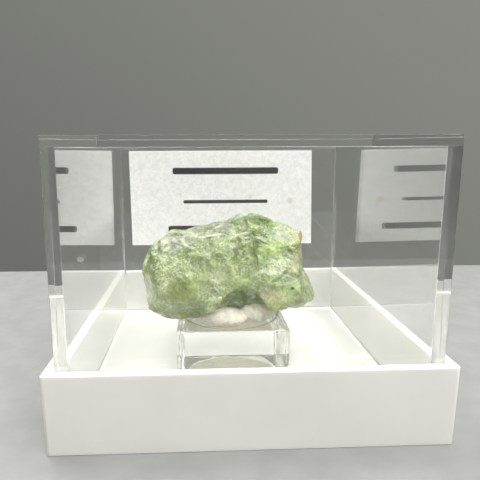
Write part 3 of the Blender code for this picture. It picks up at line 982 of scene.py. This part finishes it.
def clear_plastic():
    """Clear plastic with thin scratches and a few scuffs, and glossier walls at the sides."""
    finish = Finish(
        "clear moulded plastic",
        Base_Color=(0.995, 0.998, 0.995, 1),
        Roughness=0.0,
        IOR=1.59,
        Transmission_Weight=1.0,
        Coat_Roughness=0.0,
        Coat_IOR=1.5,
    )
    along = finish.stretched((4.0, 4.0, 0.11), (0.3, 0.9, 0.2))
    scratches = finish.ramp(finish.noise(1.0, 2.0, 0.5, 0.2, along), 0.7, 0.78)
    worn = finish.maths("MULTIPLY", scratches, 0.12)
    for centre, reach, turn, level in LID_SCUFFS:
        scuff = finish.patch(centre, reach, turn, soft=0.3, wobble=0.5)
        worn = finish.maths("MAXIMUM", worn, finish.maths("MULTIPLY", scuff, level))
    finish.set("Roughness", worn)
    walls = finish.highest(
        finish.patch(centre, reach, soft=0.05, wobble=0.0) for centre, reach in LID_GLOSSY_WALLS
    )
    upper = finish.patch(*LID_GLOSSY_HALF, soft=0.12, wobble=0.0)
    finish.set("Coat Weight", finish.maths("MULTIPLY", walls, upper))
    return finish.material


def white_paper():
    finish = Finish(
        "white paper",
        Roughness=0.85,
        Subsurface_Weight=0.7,
        Subsurface_Radius=(1.0, 1.0, 1.0),
        Subsurface_Scale=0.2 * MM,
    )
    fibres = finish.noise(0.5, 6.0, 0.75, 0.8)
    pulp = finish.ramp(fibres, 0.38, 0.62)
    colour = finish.mix(pulp, (1.0, 0.99, 0.98), (0.87, 0.86, 0.84))
    finish.set("Base Color", finish.painted(colour, CARD_STAINS))
    finish.set("Normal", finish.bump(fibres, 0.09))
    return finish.material


def printing_ink():
    finish = Finish("printing ink", Roughness=0.6)
    toner = finish.ramp(finish.noise(0.12, 4.0, 0.7), 0.3, 0.7)
    finish.set("Base Color", finish.mix(toner, (0.012, 0.012, 0.014), (0.035, 0.035, 0.038)))
    return finish.material


def clear_acrylic():
    """Clear acrylic, polished in front, with upright saw marks on both sides."""
    finish = Finish(
        "clear acrylic", Base_Color=(0.985, 0.99, 0.985, 1), Roughness=0.0, IOR=1.49, Transmission_Weight=1.0
    )
    sawn = finish.noise(0.55, 3.0, 0.6, 0.5, finish.stretched((1.0, 5.0, 12.0)))
    sides = finish.highest(
        finish.patch(place, BLOCK_SIDE_REACH, soft=0.1, wobble=0.0) for place in BLOCK_SIDES
    )
    finish.set("Normal", finish.bump(finish.maths("MULTIPLY", sawn, sides), BLOCK_SAW_DEPTH))
    return finish.material


def white_glue():
    finish = Finish("white glue", Roughness=0.5)
    cloud = finish.ramp(finish.noise(0.9, 4.0, 0.6), 0.35, 0.65)
    finish.set("Base Color", finish.mix(cloud, (0.95, 0.95, 0.92), (0.88, 0.88, 0.84)))
    return finish.material


def adhesive():
    finish = Finish("adhesive pad", Roughness=0.7)
    mottle = finish.ramp(finish.noise(0.8, 4.0), 0.3, 0.7)
    finish.set("Base Color", finish.mix(mottle, (0.52, 0.5, 0.4), (0.6, 0.58, 0.48)))
    return finish.material


def putty_cream():
    finish = Finish(
        "cream putty",
        Roughness=0.5,
        Subsurface_Weight=0.25,
        Subsurface_Radius=(1.0, 0.85, 0.6),
        Subsurface_Scale=0.3 * MM,
    )
    mottle = finish.ramp(finish.noise(0.7, 4.0, 0.6), 0.3, 0.7)
    colour = finish.mix(mottle, (0.93, 0.86, 0.71), (0.97, 0.93, 0.83))
    grain = finish.cells(0.24, output="Color")
    finish.set("Base Color", finish.tinted(colour, finish.ramp(grain, 0.1, 0.9, 0.82, 1.05, smooth=False)))
    finish.set("Normal", finish.bump(finish.noise(0.28, 4.0, 0.7), 0.22))
    return finish.material


def brown_film():
    # A thin brown film for the ring round the putty
    finish = Finish("brown film", Roughness=0.35, IOR=1.45)
    thick = finish.ramp(finish.noise(0.7, 4.0, 0.6), 0.35, 0.65)
    finish.set("Base Color", finish.mix(thick, (0.66, 0.61, 0.5), (0.5, 0.44, 0.34)))
    finish.set("Alpha", finish.ramp(finish.noise(1.3, 3.0, 0.6), 0.35, 0.6, 0.25, 0.85))
    return finish.material


def garnet_green():
    """Pale milky green: olive, whitish and creamy zones, fracture flecks partly painted as glints, and dark
    veins.
    """
    finish = Finish(
        "rough garnet",
        IOR=1.74,
        Subsurface_Weight=0.8,
        Subsurface_Radius=(1.0, 1.0, 0.45),
        Subsurface_Scale=1.6 * MM,
    )
    drift = finish.ramp(finish.noise(2.6, 4.0, 0.6), 0.35, 0.65)
    colour = finish.mix(drift, (0.39, 0.49, 0.19), (0.5, 0.6, 0.27))
    # Colour zones, a few of them painted light and shade
    colour = finish.painted(colour, COLOUR_AND_LIGHT_ZONES)
    colour = finish.painted(colour, PANEL_ZONES, soft=0.12, wobble=0.25)
    calm = finish.highest(
        finish.maths("MULTIPLY", finish.patch(centre, reach), 1 - level)
        for centre, reach, level in CALM_PLACES
    )
    lively = finish.maths("SUBTRACT", 1.0, calm)
    falling = finish.stretched((2.2, 1.0, 0.8), (0, 0.55, 0))
    rising = finish.stretched((0.7, 1.0, 2.0), (0, 0.25, 0))
    for place, size, contrast in ((falling, 0.6, 0.12), (rising, 0.4, 0.1), (None, 0.22, 0.18)):
        grains = finish.cells(size, output="Color", place=place)
        lightness = finish.ramp(grains, 0.1, 0.9, 1 - contrast, 1 + contrast, smooth=False)
        colour = finish.tinted(colour, lightness)
    veins = finish.maths("ABSOLUTE", finish.maths("SUBTRACT", finish.noise(1.1, 5.0, 0.7, 0.4), 0.5), 0)
    veins = finish.maths("MULTIPLY", finish.ramp(veins, 0.0, 0.03, 1.0, 0.0), lively)
    colour = finish.mix(finish.maths("MULTIPLY", veins, 0.3), colour, (0.16, 0.25, 0.07))
    # Pale lines between the grains, partly fracture lines and partly painted glints
    for place, size, wide, spread, share in ((falling, 0.75, 0.1, 0.8, 0.75), (rising, 0.5, 0.12, 0.7, 0.7)):
        edges = finish.ramp(finish.cells(size, "DISTANCE_TO_EDGE", place=place), 0.0, wide, share, 0.0)
        shown = finish.ramp(finish.noise(spread, 4.0, 0.7), 0.56, 0.61)
        edges = finish.maths("MULTIPLY", finish.maths("MULTIPLY", edges, shown), lively)
        colour = finish.mix(edges, colour, (0.92, 0.98, 0.72))
    # Bright flecks, partly fractures in the stone and partly painted glints
    thin_falling = finish.stretched((2.6, 1.0, 0.6), (0, 0.6, 0))
    thin_rising = finish.stretched((0.6, 1.0, 2.4), (0, 0.3, 0))
    thin_level = finish.stretched((2.4, 1.0, 0.6), (0, -0.25, 0))
    for place, size, share in (
        (thin_falling, 0.34, 0.56),
        (thin_rising, 0.32, 0.5),
        (thin_level, 0.28, 0.45),
        (None, 0.26, 0.36),
    ):
        flecks = finish.ramp(finish.noise(size, 3.0, 0.55, 0.4, place), 0.57, 0.69, 0.0, share)
        colour = finish.mix(finish.maths("MULTIPLY", flecks, lively), colour, (0.84, 0.92, 0.6))
    # Crisp marks: painted shade in creases and on the step, painted highlights on edges, a dot and a pale
    # chip
    colour = finish.painted(colour, FINE_MARKS_AND_PAINTED_LIGHT, soft=0.3, wobble=0.9)
    finish.set("Base Color", finish.tinted(colour, STONE_DEPTH))
    clear = finish.ramp(finish.noise(1.1, 3.0, 0.6), 0.35, 0.65, 0.15, 0.45)
    clear = finish.maths("ADD", clear, finish.maths("MULTIPLY", calm, 0.35))
    milky = finish.highest(finish.patch(centre, reach) for centre, reach in MILKY_PLACES)
    clear = finish.maths("SUBTRACT", clear, finish.maths("MULTIPLY", milky, 0.35))
    finish.set("Transmission Weight", finish.maths("MAXIMUM", clear, 0.05))
    gloss = finish.ramp(finish.noise(0.5, 4.0, 0.6), 0.35, 0.7, 0.06, 0.25)
    peak, peak_reach, dullness = DULL_PEAK
    dull = finish.maths("MULTIPLY", finish.patch(peak, peak_reach), dullness)
    finish.set("Roughness", finish.maths("MAXIMUM", gloss, dull))
    waxy = finish.highest(finish.patch(centre, reach) for centre, reach in WAXY_PLACES)
    finish.set("Specular IOR Level", finish.ramp(waxy, 0.0, 1.0, 0.5, 0.15))
    finish.set("Normal", finish.bump(finish.cells(0.26), 0.03))
    return finish.material


def place_camera():
    """The photograph's own view: a turned, pitched camera whose centre lies off the frame's middle."""
    data = bpy.data.cameras.new("camera")
    camera = bpy.data.objects.new("camera", data)
    bpy.context.collection.objects.link(camera)
    bpy.context.scene.camera = camera
    data.sensor_width = SENSOR
    data.clip_start = NEAREST_SEEN
    data.lens = SENSOR * FOCAL_PIXELS / FRAME_PIXELS
    data.shift_x = (FRAME_PIXELS / 2 - CENTRE_PIXEL[0]) / FRAME_PIXELS
    data.shift_y = (CENTRE_PIXEL[1] - FRAME_PIXELS / 2) / FRAME_PIXELS
    forward = Vector((
        -math.sin(CAMERA_YAW) * math.cos(CAMERA_PITCH),
        math.cos(CAMERA_YAW) * math.cos(CAMERA_PITCH),
        -math.sin(CAMERA_PITCH),
    ))
    right = Vector((math.cos(CAMERA_YAW), math.sin(CAMERA_YAW), 0))
    basis = Matrix((right, right.cross(forward), -forward)).transposed().to_4x4()
    turned = basis @ Matrix.Rotation(CAMERA_ROLL, 4, "Z")
    camera.matrix_world = Matrix.Translation(Vector(CAMERA_PLACE) * MM) @ turned


def make_floor():
    """Plain pale table top under the box, which ends a little way behind it."""
    table = add_box("pale_table", Vector(TABLE_LOW), Vector(TABLE_HIGH))
    finish = Finish("pale table", Roughness=0.6)
    mottle = finish.ramp(finish.noise(3.0, 4.0), 0.3, 0.7)
    finish.set("Base Color", finish.mix(mottle, (0.23, 0.23, 0.222), (0.26, 0.26, 0.25)))
    table.data.materials.append(finish.material)


def make_grey_room():
    """Grey surroundings, darker low on the left and lighter high on the right."""
    world = bpy.data.worlds.new("grey room")
    bpy.context.scene.world = world
    world.use_nodes = True
    tree = world.node_tree
    place = tree.nodes.new("ShaderNodeTexCoord")
    slope = tree.nodes.new("ShaderNodeVectorMath")
    slope.operation = "DOT_PRODUCT"
    slope.inputs[1].default_value = ROOM_SLOPE
    shade_of_grey = tree.nodes.new("ShaderNodeMapRange")
    shade_of_grey.inputs["From Min"].default_value = ROOM_START
    shade_of_grey.inputs["From Max"].default_value = ROOM_END
    grade = tree.nodes.new("ShaderNodeMix")
    grade.data_type = "RGBA"
    grade.inputs[6].default_value = ROOM_DARK
    grade.inputs[7].default_value = ROOM_LIGHT
    tree.links.new(place.outputs["Generated"], slope.inputs[0])
    tree.links.new(slope.outputs["Value"], shade_of_grey.inputs["Value"])
    tree.links.new(shade_of_grey.outputs["Result"], grade.inputs[0])
    tree.links.new(grade.outputs[2], tree.nodes["Background"].inputs["Color"])


def light_the_studio():
    """Soft square lights, plain colours, and enough bounces for the clear walls."""
    for name, place, width, power in STUDIO_LIGHTS:
        data = bpy.data.lights.new(name, "AREA")
        data.shape = "SQUARE"
        data.size = width
        data.energy = power
        light = bpy.data.objects.new(name, data)
        light.location = place
        light.rotation_euler = (Vector(LIT_PLACE) - Vector(place)).to_track_quat("-Z", "Y").to_euler()
        bpy.context.collection.objects.link(light)
    scene = bpy.context.scene
    scene.view_settings.view_transform = "Standard"
    scene.cycles.blur_glossy = 0.0
    scene.cycles.max_bounces = LIGHT_BOUNCES
    scene.cycles.transmission_bounces = LIGHT_BOUNCES
    scene.cycles.glossy_bounces = LIGHT_BOUNCES


place_camera()
make_tray()
make_lid()
card = make_card()
make_printed_rules(card)
block = make_block()
pad = make_pad(block)
make_glue(pad)
make_putty()
make_brown_ring()
make_crystal()
make_floor()
make_grey_room()
light_the_studio()
